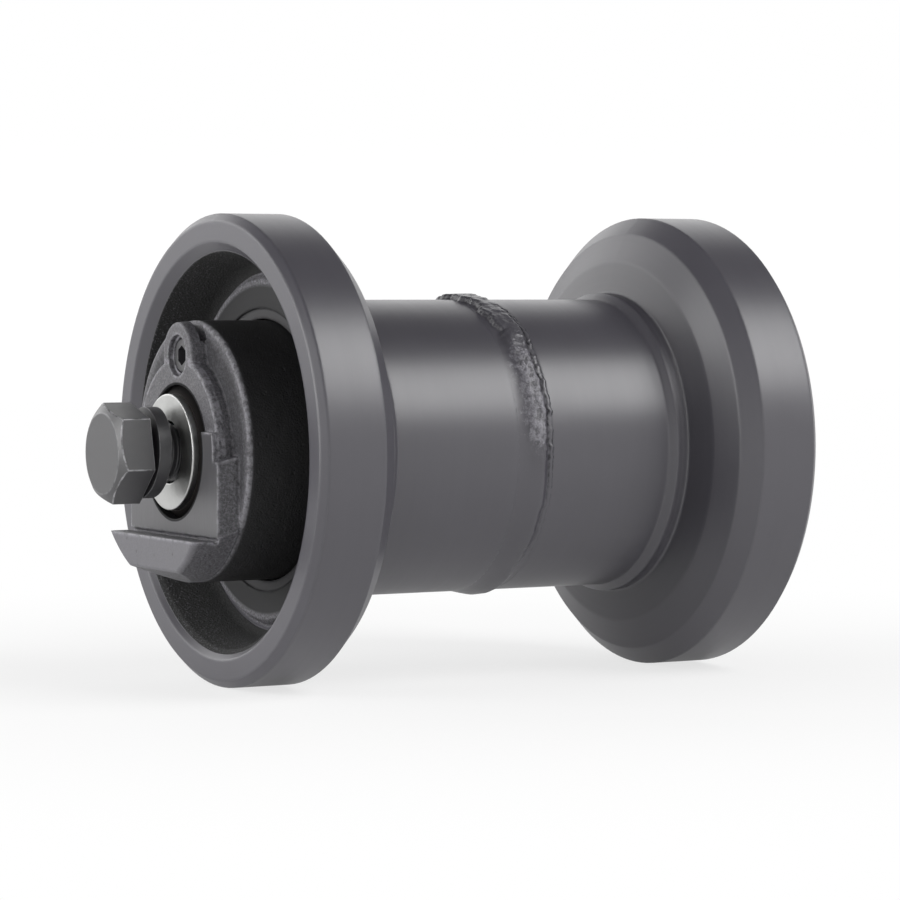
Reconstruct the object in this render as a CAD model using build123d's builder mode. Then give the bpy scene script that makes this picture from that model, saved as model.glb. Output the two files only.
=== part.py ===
from build123d import *
import os
from math import atan2, cos, radians, sin, sqrt, tan

os.makedirs("parts", exist_ok=True)

# Track roller. The axis lies along Y, Z is up, and the origin is the middle of the axis.
# Both ends carry the same pieces, the far ones turned half a turn about Z.
# "out" is a distance along the axis from the middle of the roller, the same for both ends.

# Wheels
wheel_diameter = 160.0
wheel_face_width = 192.0  # over both outer faces
rim_width = 23.05
rim_corner_bevel = 2.4
face_ring_width = 7.1  # flat ring between the rim's bevel and the dish
rim_chamfer_drop = 5.7  # radius lost over the chamfer behind the rim
rim_chamfer_run = 5.9
wheel_cone_drop = 9.6
wheel_cone_run = 4.3
wheel_back_run = 3.0
shoulder_height = 2.2
shoulder_width = 5.4
shoulder_bevel = 1.1

# Barrel and its weld
barrel_diameter = 101.8
barrel_wall = 12.9
weld_root_face = 6.9
weld_groove_width = 13.0
weld_cap_overlap = 0.7
weld_cap_height = 2.0

# Dish in the outer face of a wheel
dish_lip_bevel = 3.4
dish_depth = 20.65
dish_wall_slope = 3.3  # radius lost from the lip's bevel to the floor
dish_corner_radius = 3.4
dish_floor_width = 4.0  # from the foot of the wall to the foot of the hub's shoulder
hub_face_depth = 17.65
hub_shoulder_run = 2.0
hub_shoulder_round = 1.6
spot_face_width = 3.5
spot_face_depth = 0.9

# Labyrinth between hub and collar, and the seats of the face seals
labyrinth_gap = 0.6
labyrinth_depth = 7.5
skirt_end_gap = 0.8
skirt_wall = 4.5
seal_room = 14.5  # between the journal and the wall of a seal seat
seal_seat_length = 11.5

# Shaft
journal_diameter = 50.0
thrust_flange_step = 2.0  # radius below that of the bushing flanges
thrust_flange_width = 16.0
collar_bore_diameter = 45.0
collar_fit = 0.05  # radial clearance of the shaft in the collar
shaft_end_recess = 0.6  # below the collar's pad
shaft_end_chamfer = 2.6
thrust_edge_chamfer = 0.8

# Bushings
bushing_wall = 4.5
bushing_length = 42.0
bushing_flange_gap = 2.0  # from the flange to the wall of the oil space
bushing_flange_thickness = 4.0
running_fit = 0.06  # radial clearance of the journal in the bushing
thrust_play = 0.25
oil_groove_radius = 1.6
oil_groove_count = 2

# Face seals
seal_bore_gap = 4.0  # from the journal to the metal ring
seal_tail_wall = 3.4
seal_neck_rise = 2.0  # from the tail of the ring up to its rim
seal_rim_gap = 2.3  # from the rim to the wall of the seat
seal_rim_width = 2.4
seal_face_width = 4.2
seal_ring_length = 9.6
seal_film = 0.05  # half of the gap that the lapped faces keep
seal_plane_inset = 1.0  # from the end of the collar's skirt towards the middle
seal_end_gap = 1.1  # behind the ring that stands still
toric_place = 0.5  # along the sloping neck of the metal ring
toric_slack = 0.1

# Collar casting
web_thickness = 23.9
boss_height = 5.3
pad_height = 1.6
ledge_depth = 8.5
disc_edge_round = 1.8
boss_margin = 12.1  # width of the disc round the boss
boss_draft = 5.0
boss_edge_round = 0.8
lobe_radius = 11.6
lobe_inset = 0.1
lobe_fillet = 5.0
flank_inset = 7.6  # of the block's flat sides from the round of the casting
block_top = -0.2
block_draft = 16.0
pad_top = 8.0
pad_inset = 0.3  # of its round side from that of the boss
ledge_top = -28.0
ledge_nose_inset = 0.4
ledge_face_draft = 4.0
ledge_underside_run = 13.3
ledge_underside_rise = 5.2
ledge_edge_round = 1.3
relief_radius = 0.9
lobe_groove_radius = 1.6
lobe_groove_arc = 65.0  # to each side of the lobe's top

# Oil plug
plug_thread_diameter = 12.0
plug_length = 9.0
plug_socket = 6.0
plug_socket_depth = 5.0
plug_recess_radius = 7.0
plug_recess_depth = 1.7
plug_hole_depth = 13.0
plug_fit = 0.05
plug_edge_bevel = 0.7
oil_way_diameter = 6.0

# O-ring between shaft and collar
oring_section = 3.0
oring_slack = 0.05
oring_inset = 4.3  # from the collar's inner face
oring_groove_width = 4.0

# Lock pin, across the side of the shaft
pin_diameter = 8.0
pin_inset = 12.0  # from the collar's inner face
pin_sink = 2.6
pin_fit = 0.02
pin_end_bevel = 0.8

# Bolt and washers
bolt_thread_diameter = 20.0
bolt_length = 50.0
bolt_head_height = 12.1
bolt_across_flats = 30.0
bolt_stand_off = 13.9  # from the pad to the back of the head
bolt_head_chamfer_angle = 30.0
bolt_head_top_share = 0.90  # of the width across flats, left flat on top of the head
bolt_head_turn = 103.0
bolt_end_chamfer = 2.0
thread_fit = 0.05
thread_hole_depth = 46.0
drill_point_angle = 59.0
thread_mouth_chamfer = 1.0
plain_washer_diameter = 39.0
plain_washer_bore = 21.0
plain_washer_thickness = 2.5
plain_washer_edge_round = 0.4
spring_washer_bore = 20.5
spring_washer_width = 5.0
spring_washer_thickness = 4.4
spring_washer_pitch = 5.0
spring_washer_turn = 350.0
spring_washer_start = 200.0

# Radii and places that follow from the sizes above
wheel_radius = wheel_diameter / 2
wheel_out = wheel_face_width / 2
barrel_radius = barrel_diameter / 2
journal_radius = journal_diameter / 2
dish_lip_radius = wheel_radius - rim_corner_bevel - face_ring_width
dish_wall_foot = dish_lip_radius - dish_lip_bevel - dish_wall_slope
dish_floor_out = wheel_out - dish_depth
chamfer_radius = wheel_radius - rim_chamfer_drop
cone_radius = chamfer_radius - wheel_cone_drop
rim_back_out = wheel_out - rim_width
chamfer_out = rim_back_out - rim_chamfer_run
cone_out = chamfer_out - wheel_cone_run
wheel_back_out = cone_out - wheel_back_run
shoulder_radius = barrel_radius + shoulder_height
shoulder_out = wheel_back_out - shoulder_width

reservoir_radius = barrel_radius - barrel_wall
weld_root_radius = reservoir_radius + weld_root_face
weld_half_width = weld_groove_width / 2

bushing_flange_radius = reservoir_radius - bushing_flange_gap
thrust_flange_radius = bushing_flange_radius - thrust_flange_step
thrust_half_width = thrust_flange_width / 2
bushing_flange_out = thrust_half_width + thrust_play
bushing_seat_out = bushing_flange_out + bushing_flange_thickness
bushing_end_out = bushing_flange_out + bushing_length
bushing_bore_radius = journal_radius + running_fit
bushing_outer_radius = bushing_bore_radius + bushing_wall

seal_seat_radius = journal_radius + seal_room
collar_radius = seal_seat_radius + skirt_wall
labyrinth_radius = collar_radius + labyrinth_gap
spot_face_radius = labyrinth_radius + spot_face_width
hub_shoulder_foot = dish_wall_foot - dish_floor_width
hub_face_radius = hub_shoulder_foot - hub_shoulder_run

hub_face_out = wheel_out - hub_face_depth
spot_face_out = hub_face_out - spot_face_depth
labyrinth_out = spot_face_out - labyrinth_depth
skirt_end_out = labyrinth_out + skirt_end_gap
seal_seat_out = labyrinth_out - seal_seat_length
seal_plane_out = skirt_end_out - seal_plane_inset

seal_bore_radius = journal_radius + seal_bore_gap
seal_tail_radius = seal_bore_radius + seal_tail_wall
seal_neck_radius = seal_tail_radius + seal_neck_rise
seal_face_outer_radius = seal_seat_radius - seal_rim_gap
seal_face_inner_radius = seal_face_outer_radius - seal_face_width

collar_web_out = seal_plane_out + seal_film + seal_ring_length + seal_end_gap
disc_face_out = collar_web_out + web_thickness
cast_face_out = disc_face_out + boss_height
pad_face_out = cast_face_out + pad_height
ledge_face_out = pad_face_out + ledge_depth
boss_radius = collar_radius - boss_margin
lobe_height = collar_radius - lobe_radius - lobe_inset
oring_out = collar_web_out + oring_inset
pin_out = collar_web_out + pin_inset
bolt_head_back_out = pad_face_out + bolt_stand_off

bore_radius = collar_bore_diameter / 2
shaft_seat_radius = bore_radius - collar_fit
shaft_end_out = pad_face_out - shaft_end_recess
thread_radius = bolt_thread_diameter / 2
thread_hole_radius = thread_radius + thread_fit
plug_radius = plug_thread_diameter / 2 - plug_fit
pin_radius = pin_diameter / 2
pin_hole_radius = pin_radius + pin_fit
pin_half_length = sqrt(collar_radius**2 - (shaft_seat_radius + pin_hole_radius) ** 2) - pin_sink
spring_washer_radius = spring_washer_bore / 2 + spring_washer_width / 2


def axial_plane(side):
    """Plane through the axis whose x runs out towards one end and whose y is up."""
    return Plane(origin=(0, 0, 0), x_dir=(0, side, 0), z_dir=(side, 0, 0))


def end_plane(side, out):
    """Plane across the axis, looking back at one end, with y up."""
    return Plane(origin=(0, side * out, 0), x_dir=(-side, 0, 0), z_dir=(0, side, 0))


def across_plane(side, out, shift):
    """Level plane at the height of the axis, centred beside the shaft."""
    return Plane(origin=(side * shift, side * out, 0), x_dir=(-side, 0, 0), z_dir=(0, 0, 1))


def outer_face(part, side):
    """The face of a part that lies furthest out towards one end."""
    return part.faces().sort_by(Axis.Y)[-1 if side > 0 else 0]


ends = (("near", -1), ("far", 1))

# Shell halves: one forging each, a wheel with a dished outer face and half of the barrel
for end, side in ends:
    with BuildPart() as shell:
        with BuildSketch(axial_plane(side)) as shell_section:
            with BuildLine():
                Polyline(
                    (0, reservoir_radius),
                    (0, weld_root_radius),
                    (weld_half_width, barrel_radius),
                    (shoulder_out - shoulder_bevel, barrel_radius),
                    (shoulder_out + shoulder_bevel, shoulder_radius),
                    (wheel_back_out, shoulder_radius),
                    (cone_out, cone_radius),
                    (chamfer_out, chamfer_radius),
                    (rim_back_out, wheel_radius),
                    (wheel_out - rim_corner_bevel, wheel_radius),
                    (wheel_out, wheel_radius - rim_corner_bevel),
                    (wheel_out, dish_lip_radius),
                    (wheel_out - dish_lip_bevel, dish_lip_radius - dish_lip_bevel),
                    (dish_floor_out, dish_wall_foot),
                    (dish_floor_out, hub_shoulder_foot),
                    (hub_face_out, hub_face_radius),
                    (hub_face_out, spot_face_radius),
                    (spot_face_out, spot_face_radius),
                    (spot_face_out, labyrinth_radius),
                    (labyrinth_out, labyrinth_radius),
                    (labyrinth_out, seal_seat_radius),
                    (seal_seat_out, seal_seat_radius),
                    (seal_seat_out, bushing_outer_radius),
                    (bushing_seat_out, bushing_outer_radius),
                    (bushing_seat_out, reservoir_radius),
                    close=True,
                )
            make_face()
            dish_corner = shell_section.vertices().sort_by_distance((dish_floor_out, dish_wall_foot))[0]
            fillet(dish_corner, radius=dish_corner_radius)
            hub_shoulder = shell_section.vertices().sort_by_distance((hub_face_out, hub_face_radius))[0]
            fillet(hub_shoulder, radius=hub_shoulder_round)
        revolve(axis=Axis.Y)
    shell.part.label = f"shell_{end}"
    export_step(shell.part, f"parts/shell_{end}.step")

# Weld: fills the groove between the two half barrels and stands a little proud of them
weld_cap_half = weld_half_width + weld_cap_overlap
with BuildPart() as weld:
    with BuildSketch(Plane.YZ):
        with BuildLine():
            Polyline(
                (-weld_cap_half, barrel_radius),
                (-weld_half_width, barrel_radius),
                (0, weld_root_radius),
                (weld_half_width, barrel_radius),
                (weld_cap_half, barrel_radius),
            )
            ThreePointArc(
                (weld_cap_half, barrel_radius),
                (0, barrel_radius + weld_cap_height),
                (-weld_cap_half, barrel_radius),
            )
        make_face()
    revolve(axis=Axis.Y)
weld.part.label = "weld_bead"
export_step(weld.part, "parts/weld_bead.step")

# Shaft: turned from bar, with a thrust flange at mid-length and a tapped hole in each end
oring_half = oring_groove_width / 2
oring_groove_radius = bore_radius - oring_section
drill_point = thread_hole_radius / tan(radians(drill_point_angle))
with BuildPart() as shaft:
    for end, side in ends:
        with BuildSketch(axial_plane(side)):
            with BuildLine():
                Polyline(
                    (0, 0),
                    (0, thrust_flange_radius),
                    (thrust_half_width - thrust_edge_chamfer, thrust_flange_radius),
                    (thrust_half_width, thrust_flange_radius - thrust_edge_chamfer),
                    (thrust_half_width, journal_radius),
                    (collar_web_out, journal_radius),
                    (collar_web_out, shaft_seat_radius),
                    (oring_out - oring_half, shaft_seat_radius),
                    (oring_out - oring_half, oring_groove_radius),
                    (oring_out + oring_half, oring_groove_radius),
                    (oring_out + oring_half, shaft_seat_radius),
                    (shaft_end_out - shaft_end_chamfer, shaft_seat_radius),
                    (shaft_end_out, shaft_seat_radius - shaft_end_chamfer),
                    (shaft_end_out, thread_hole_radius + thread_mouth_chamfer),
                    (shaft_end_out - thread_mouth_chamfer, thread_hole_radius),
                    (shaft_end_out - thread_hole_depth, thread_hole_radius),
                    (shaft_end_out - thread_hole_depth - drill_point, 0),
                    close=True,
                )
            make_face()
        revolve(axis=Axis.Y)
    for end, side in ends:
        with BuildSketch(across_plane(side, pin_out, shaft_seat_radius)):
            Circle(pin_hole_radius)
        extrude(amount=journal_radius, both=True, mode=Mode.SUBTRACT)
shaft.part.label = "shaft"
export_step(shaft.part, "parts/shaft.step")

# Bushings: pressed into the shells, with a flange that takes the end thrust of the shaft
for end, side in ends:
    with BuildPart() as bushing:
        with BuildSketch(axial_plane(side)):
            with BuildLine():
                Polyline(
                    (bushing_flange_out, bushing_bore_radius),
                    (bushing_flange_out, bushing_flange_radius),
                    (bushing_seat_out, bushing_flange_radius),
                    (bushing_seat_out, bushing_outer_radius),
                    (bushing_end_out, bushing_outer_radius),
                    (bushing_end_out, bushing_bore_radius),
                    close=True,
                )
            make_face()
        revolve(axis=Axis.Y)
        with BuildSketch(end_plane(side, bushing_flange_out)):
            with PolarLocations(bushing_bore_radius, oil_groove_count):
                Circle(oil_groove_radius)
        extrude(amount=bushing_length, mode=Mode.SUBTRACT)
    bushing.part.label = f"bushing_{end}"
    export_step(bushing.part, f"parts/bushing_{end}.step")

# Face seals: two lapped metal rings face to face, each pressed on by a rubber toric in its seat
neck_run = seal_ring_length - seal_rim_width
neck_angle = atan2(seal_neck_radius - seal_tail_radius, neck_run)
toric_neck_out = seal_rim_width + neck_run * toric_place
toric_neck_radius = seal_neck_radius - (toric_neck_out - seal_rim_width) * tan(neck_angle)
toric_radius = (seal_seat_radius - toric_neck_radius - toric_slack) / (1 + cos(neck_angle))
toric_centre_radius = seal_seat_radius - toric_radius - toric_slack / 2
toric_centre_out = toric_neck_out + toric_radius * sin(neck_angle)
for end, side in ends:
    for role, way in (("turning", -1), ("fixed", 1)):
        face_out = seal_plane_out + way * seal_film
        with BuildPart() as seal_ring:
            with BuildSketch(axial_plane(side)):
                with BuildLine():
                    Polyline(
                        (face_out, seal_face_inner_radius),
                        (face_out, seal_face_outer_radius),
                        (face_out + way * seal_rim_width, seal_face_outer_radius),
                        (face_out + way * seal_rim_width, seal_neck_radius),
                        (face_out + way * seal_ring_length, seal_tail_radius),
                        (face_out + way * seal_ring_length, seal_bore_radius),
                        (face_out + way * seal_rim_width, seal_bore_radius),
                        close=True,
                    )
                make_face()
            revolve(axis=Axis.Y)
        seal_ring.part.label = f"seal_ring_{role}_{end}"
        export_step(seal_ring.part, f"parts/seal_ring_{role}_{end}.step")

        with BuildPart() as toric:
            with BuildSketch(axial_plane(side)):
                with Locations((face_out + way * toric_centre_out, toric_centre_radius)):
                    Circle(toric_radius)
            revolve(axis=Axis.Y)
        toric.part.label = f"seal_toric_{role}_{end}"
        export_step(toric.part, f"parts/seal_toric_{role}_{end}.step")

# End collars: castings that close the seals and sit on the machine's side frame.
# The lobe carries the oil plug, the pad bears on the frame plate and the ledge carries its edge.
neck_height = (boss_radius**2 - lobe_radius**2 + lobe_height**2) / (2 * lobe_height)
neck_half_width = sqrt(boss_radius**2 - neck_height**2)
flank_out = collar_radius - flank_inset
ledge_nose_radius = collar_radius - ledge_nose_inset
ledge_underside_out = ledge_face_out - ledge_underside_run
ledge_foot = ledge_underside_rise - collar_radius
ledge_foot_out = ledge_face_out - (ledge_top - ledge_foot) * tan(radians(ledge_face_draft))
plug_recess_out = cast_face_out - plug_recess_depth
casting_span = 4 * collar_radius
lobe_axis = Axis((0, 0, lobe_height), (0, 1, 0))
for end, side in ends:
    with BuildPart() as collar:
        with BuildSketch(axial_plane(side)):
            with BuildLine():
                Polyline(
                    (skirt_end_out, seal_seat_radius),
                    (skirt_end_out, collar_radius),
                    (disc_face_out, collar_radius),
                    (disc_face_out, 0),
                    (collar_web_out, 0),
                    (collar_web_out, seal_seat_radius),
                    close=True,
                )
            make_face()
        revolve(axis=Axis.Y)
        disc_rim = collar.edges().sort_by_distance((0, side * disc_face_out, collar_radius))[0]
        fillet(disc_rim, radius=disc_edge_round)

        # Boss round the shaft, with the lobe above it
        with BuildSketch(end_plane(side, disc_face_out)) as boss_outline:
            Circle(boss_radius)
            with Locations((0, lobe_height)):
                Circle(lobe_radius)
            for hand in (-1, 1):
                neck = boss_outline.vertices().sort_by_distance((hand * neck_half_width, neck_height))[0]
                fillet(neck, radius=lobe_fillet)
        extrude(amount=boss_height, taper=boss_draft)
        fillet(outer_face(collar, side).edges(), radius=boss_edge_round)

        # Block with flat sides under the pad, and the pad itself
        with BuildSketch(end_plane(side, disc_face_out)):
            with Locations((0, block_top)):
                Rectangle(2 * flank_out, casting_span, align=(Align.CENTER, Align.MAX))
        extrude(amount=boss_height + pad_height, taper=block_draft)
        with BuildSketch(end_plane(side, disc_face_out)):
            Circle(boss_radius - pad_inset)
            with Locations((0, pad_top)):
                Rectangle(casting_span, casting_span, align=(Align.CENTER, Align.MAX), mode=Mode.INTERSECT)
        extrude(amount=boss_height + pad_height, taper=boss_draft)

        # Ledge, inside the turned outline of the casting
        with BuildSketch(end_plane(side, disc_face_out)):
            with Locations((0, ledge_top)):
                Rectangle(casting_span, casting_span, align=(Align.CENTER, Align.MAX))
        extrude(amount=ledge_face_out - disc_face_out)
        with BuildSketch(axial_plane(side)):
            with BuildLine():
                Polyline(
                    (skirt_end_out, 0),
                    (skirt_end_out, collar_radius),
                    (disc_face_out, collar_radius),
                    (ledge_face_out, ledge_nose_radius),
                    (ledge_face_out, 0),
                    close=True,
                )
            make_face()
        revolve(axis=Axis.Y, mode=Mode.INTERSECT)
        with BuildSketch(axial_plane(side)):
            with BuildLine():
                Polyline(
                    (ledge_underside_out, -collar_radius),
                    (ledge_foot_out, ledge_foot),
                    (ledge_face_out, ledge_top),
                    (ledge_face_out, -collar_radius),
                    close=True,
                )
            make_face()
        extrude(amount=collar_radius, both=True, mode=Mode.SUBTRACT)
        ledge_middle = (0, side * ledge_face_out, (ledge_top + ledge_foot) / 2)
        ledge_front = collar.faces().sort_by_distance(ledge_middle)[0]
        fillet(ledge_front.edges().sort_by(Axis.Z)[:-1], radius=ledge_edge_round)

        # Relief in the corner of pad and ledge, and the hollow that sets the lobe off the disc
        with BuildSketch(axial_plane(side)):
            with Locations((pad_face_out, ledge_top)):
                Circle(relief_radius)
        extrude(amount=collar_radius, both=True, mode=Mode.SUBTRACT)
        for arc in (-lobe_groove_arc, lobe_groove_arc):
            with BuildSketch(axial_plane(side)):
                with Locations((disc_face_out, lobe_height + lobe_radius)):
                    Circle(lobe_groove_radius)
            revolve(axis=lobe_axis, revolution_arc=arc, mode=Mode.SUBTRACT)

        # Bore, oil plug seat with its way to the seal, and the cross hole of the lock pin
        with BuildSketch(end_plane(side, collar_web_out)):
            Circle(bore_radius)
        extrude(amount=pad_face_out - collar_web_out, mode=Mode.SUBTRACT)
        with BuildSketch(end_plane(side, plug_recess_out)):
            with Locations((0, lobe_height)):
                Circle(plug_recess_radius)
        extrude(amount=plug_recess_depth, mode=Mode.SUBTRACT)
        with BuildSketch(end_plane(side, plug_recess_out - plug_hole_depth)):
            with Locations((0, lobe_height)):
                Circle(plug_thread_diameter / 2)
        extrude(amount=plug_hole_depth, mode=Mode.SUBTRACT)
        with BuildSketch(end_plane(side, collar_web_out)):
            with Locations((0, lobe_height)):
                Circle(oil_way_diameter / 2)
        extrude(amount=plug_recess_out - collar_web_out, mode=Mode.SUBTRACT)
        with BuildSketch(across_plane(side, pin_out, shaft_seat_radius)):
            Circle(pin_hole_radius)
        extrude(amount=collar_radius, both=True, mode=Mode.SUBTRACT)
    collar.part.label = f"collar_{end}"
    export_step(collar.part, f"parts/collar_{end}.step")

# Small pieces held by each collar: oil plug, shaft O-ring and lock pin
for end, side in ends:
    with BuildPart() as plug:
        with BuildSketch(end_plane(side, plug_recess_out - plug_length)):
            with Locations((0, lobe_height)):
                Circle(plug_radius)
        extrude(amount=plug_length)
        chamfer(outer_face(plug, side).edges(), length=plug_edge_bevel)
        with BuildSketch(end_plane(side, plug_recess_out)):
            with Locations((0, lobe_height)):
                RegularPolygon(plug_socket / 2, 6, major_radius=False, rotation=30)
        extrude(amount=-plug_socket_depth, mode=Mode.SUBTRACT)
    plug.part.label = f"oil_plug_{end}"
    export_step(plug.part, f"parts/oil_plug_{end}.step")

    with BuildPart() as oring:
        with BuildSketch(axial_plane(side)):
            with Locations((oring_out, bore_radius - oring_section / 2)):
                Circle((oring_section - oring_slack) / 2)
        revolve(axis=Axis.Y)
    oring.part.label = f"shaft_oring_{end}"
    export_step(oring.part, f"parts/shaft_oring_{end}.step")

    with BuildPart() as pin:
        with BuildSketch(across_plane(side, pin_out, shaft_seat_radius)):
            Circle(pin_radius)
        extrude(amount=pin_half_length, both=True)
        pin_ends = pin.faces().filter_by(Axis.Z)
        chamfer(pin_ends.edges(), length=pin_end_bevel)
    pin.part.label = f"lock_pin_{end}"
    export_step(pin.part, f"parts/lock_pin_{end}.step")

# Bolts with their washers, standing off the pads as delivered, before a frame plate is clamped
flats_radius = bolt_across_flats / 2
corner_radius = flats_radius / cos(radians(30))
head_top_radius = flats_radius * bolt_head_top_share
head_front_out = bolt_head_back_out + bolt_head_height
head_bevel = (corner_radius - head_top_radius) * tan(radians(bolt_head_chamfer_angle))
spring_rise = spring_washer_pitch * spring_washer_turn / 360
spring_start_out = bolt_head_back_out - spring_washer_thickness / 2 - spring_rise
with BuildPart() as spring_coil:
    with BuildLine() as coil:
        Helix(spring_washer_pitch, spring_rise, spring_washer_radius, lefthand=True)
    with BuildSketch(Plane(origin=coil.line @ 0, x_dir=(1, 0, 0), z_dir=coil.line % 0)):
        Rectangle(spring_washer_width, spring_washer_thickness)
    sweep(path=coil.line, is_frenet=True)
for end, side in ends:
    with BuildPart() as bolt:
        with BuildSketch(end_plane(side, bolt_head_back_out)):
            RegularPolygon(flats_radius, 6, major_radius=False, rotation=bolt_head_turn)
        extrude(amount=bolt_head_height)
        with BuildSketch(axial_plane(side)):
            with BuildLine():
                Polyline(
                    (bolt_head_back_out, 0),
                    (bolt_head_back_out, corner_radius),
                    (head_front_out - head_bevel, corner_radius),
                    (head_front_out, head_top_radius),
                    (head_front_out, 0),
                    close=True,
                )
            make_face()
        revolve(axis=Axis.Y, mode=Mode.INTERSECT)
        with BuildSketch(axial_plane(side)):
            with BuildLine():
                Polyline(
                    (bolt_head_back_out, 0),
                    (bolt_head_back_out, thread_radius),
                    (bolt_head_back_out - bolt_length + bolt_end_chamfer, thread_radius),
                    (bolt_head_back_out - bolt_length, thread_radius - bolt_end_chamfer),
                    (bolt_head_back_out - bolt_length, 0),
                    close=True,
                )
            make_face()
        revolve(axis=Axis.Y)
    bolt.part.label = f"bolt_{end}"
    export_step(bolt.part, f"parts/bolt_{end}.step")

    with BuildPart() as plain_washer:
        with BuildSketch(end_plane(side, shaft_end_out)):
            Circle(plain_washer_diameter / 2)
            Circle(plain_washer_bore / 2, mode=Mode.SUBTRACT)
        extrude(amount=plain_washer_thickness)
        fillet(outer_face(plain_washer, side).edges(), radius=plain_washer_edge_round)
    plain_washer.part.label = f"plain_washer_{end}"
    export_step(plain_washer.part, f"parts/plain_washer_{end}.step")

    with BuildPart() as spring_washer:
        with Locations(end_plane(side, spring_start_out)):
            add(spring_coil.part, rotation=(0, 0, spring_washer_start))
    spring_washer.part.label = f"spring_washer_{end}"
    export_step(spring_washer.part, f"parts/spring_washer_{end}.step")
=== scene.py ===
# %% [markdown]
# # A track roller from an excavator's undercarriage
#
# The roller is two dished wheels on one barrel, which turns on a fixed shaft between two cast
# end collars. Its shapes were worked out in a CAD program and arrive here as fixed pieces. This
# lesson gives them their surfaces: coated steel, sand-cast iron, black and bright bolts. It
# models what a CAD solid leaves plain: the weld round the barrel and the threads of the bolts.
#
# Every piece is in metres. The shaft lies along Y with the origin at its middle, and Z is up.

# %% Load the roller
from math import pi, radians

import bmesh
import bpy
from mathutils import Matrix, Vector


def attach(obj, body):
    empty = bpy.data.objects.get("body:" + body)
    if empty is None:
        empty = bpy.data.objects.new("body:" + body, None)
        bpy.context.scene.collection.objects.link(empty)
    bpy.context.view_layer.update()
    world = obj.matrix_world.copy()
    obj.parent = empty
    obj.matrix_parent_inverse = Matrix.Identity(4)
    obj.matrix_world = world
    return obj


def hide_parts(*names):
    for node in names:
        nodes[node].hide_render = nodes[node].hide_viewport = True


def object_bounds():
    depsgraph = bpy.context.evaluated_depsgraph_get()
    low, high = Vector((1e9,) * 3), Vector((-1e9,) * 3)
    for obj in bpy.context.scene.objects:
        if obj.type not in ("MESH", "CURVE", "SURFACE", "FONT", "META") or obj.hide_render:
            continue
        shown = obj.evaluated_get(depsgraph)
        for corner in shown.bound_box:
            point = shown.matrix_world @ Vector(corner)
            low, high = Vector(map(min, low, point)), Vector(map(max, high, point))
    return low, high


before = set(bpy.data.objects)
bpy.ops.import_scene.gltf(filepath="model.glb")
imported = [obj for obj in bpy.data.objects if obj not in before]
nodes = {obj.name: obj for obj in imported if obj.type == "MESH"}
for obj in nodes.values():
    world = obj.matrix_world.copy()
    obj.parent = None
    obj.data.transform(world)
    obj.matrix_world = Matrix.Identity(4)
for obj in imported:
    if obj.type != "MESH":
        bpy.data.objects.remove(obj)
scene = bpy.context.scene
cad_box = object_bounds()
MM = 0.001
ENDS = (("near", -1), ("far", 1))
print("nodes:", len(nodes), "box:", [[round(v, 4) for v in corner] for corner in cad_box])

# %% [markdown]
# ## Camera
#
# The photograph was taken with a long lens, from about 1.25 m away and almost level with the
# shaft. A camera matches a photograph when its place, its three directions and its focal length
# match, so those are written down here instead of being found by turning knobs. The three
# directions become the columns of a rotation matrix.

# %% Camera
view_right = Vector((0.48889, 0.87235, 0.0))
view_up = Vector((-0.03827, 0.02145, 0.99904))
view_back = view_right.cross(view_up)
camera_place = Vector((1.08817, -0.61477, 0.05315))
sensor_width = 36.0
focal_pixels = 3571.33
frame_pixels = 900.0

camera_data = bpy.data.cameras.new("camera")
camera_data.sensor_width = sensor_width
camera_data.lens = focal_pixels / frame_pixels * sensor_width
camera = bpy.data.objects.new("camera", camera_data)
turn = Matrix((view_right, view_up, view_back)).transposed().to_4x4()
camera.matrix_world = Matrix.Translation(camera_place) @ turn
scene.collection.objects.link(camera)
scene.camera = camera
print("lens:", round(camera_data.lens, 2), "mm")

# %% [markdown]
# ## Shader maths as Python
#
# A finish is a small program: it takes a place on the surface and works out a colour, a
# roughness and a height. Wiring dozens of Math nodes by hand hides that program, so `Value`
# wraps one socket and lets `+`, `-`, `*` and `/` add the nodes. `Graph` is a node tree, and its
# `add` makes any other node from its type, its settings, and the values or links of its inputs.

# %% Value and Graph
class Value:
    """A number, colour or vector inside a node tree. Ordinary maths can be done with numbers."""

    def __init__(self, graph, socket):
        self.graph = graph
        self.socket = socket

    def __add__(self, other):
        return self.graph.math("ADD", self, other)

    def __radd__(self, other):
        return self.graph.math("ADD", other, self)

    def __sub__(self, other):
        return self.graph.math("SUBTRACT", self, other)

    def __rsub__(self, other):
        return self.graph.math("SUBTRACT", other, self)

    def __mul__(self, other):
        return self.graph.math("MULTIPLY", self, other)

    def __rmul__(self, other):
        return self.graph.math("MULTIPLY", other, self)

    def __truediv__(self, other):
        return self.graph.math("DIVIDE", self, other)

    def __pow__(self, other):
        return self.graph.math("POWER", self, other)

    def __abs__(self):
        return self.graph.math("ABSOLUTE", self)


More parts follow.
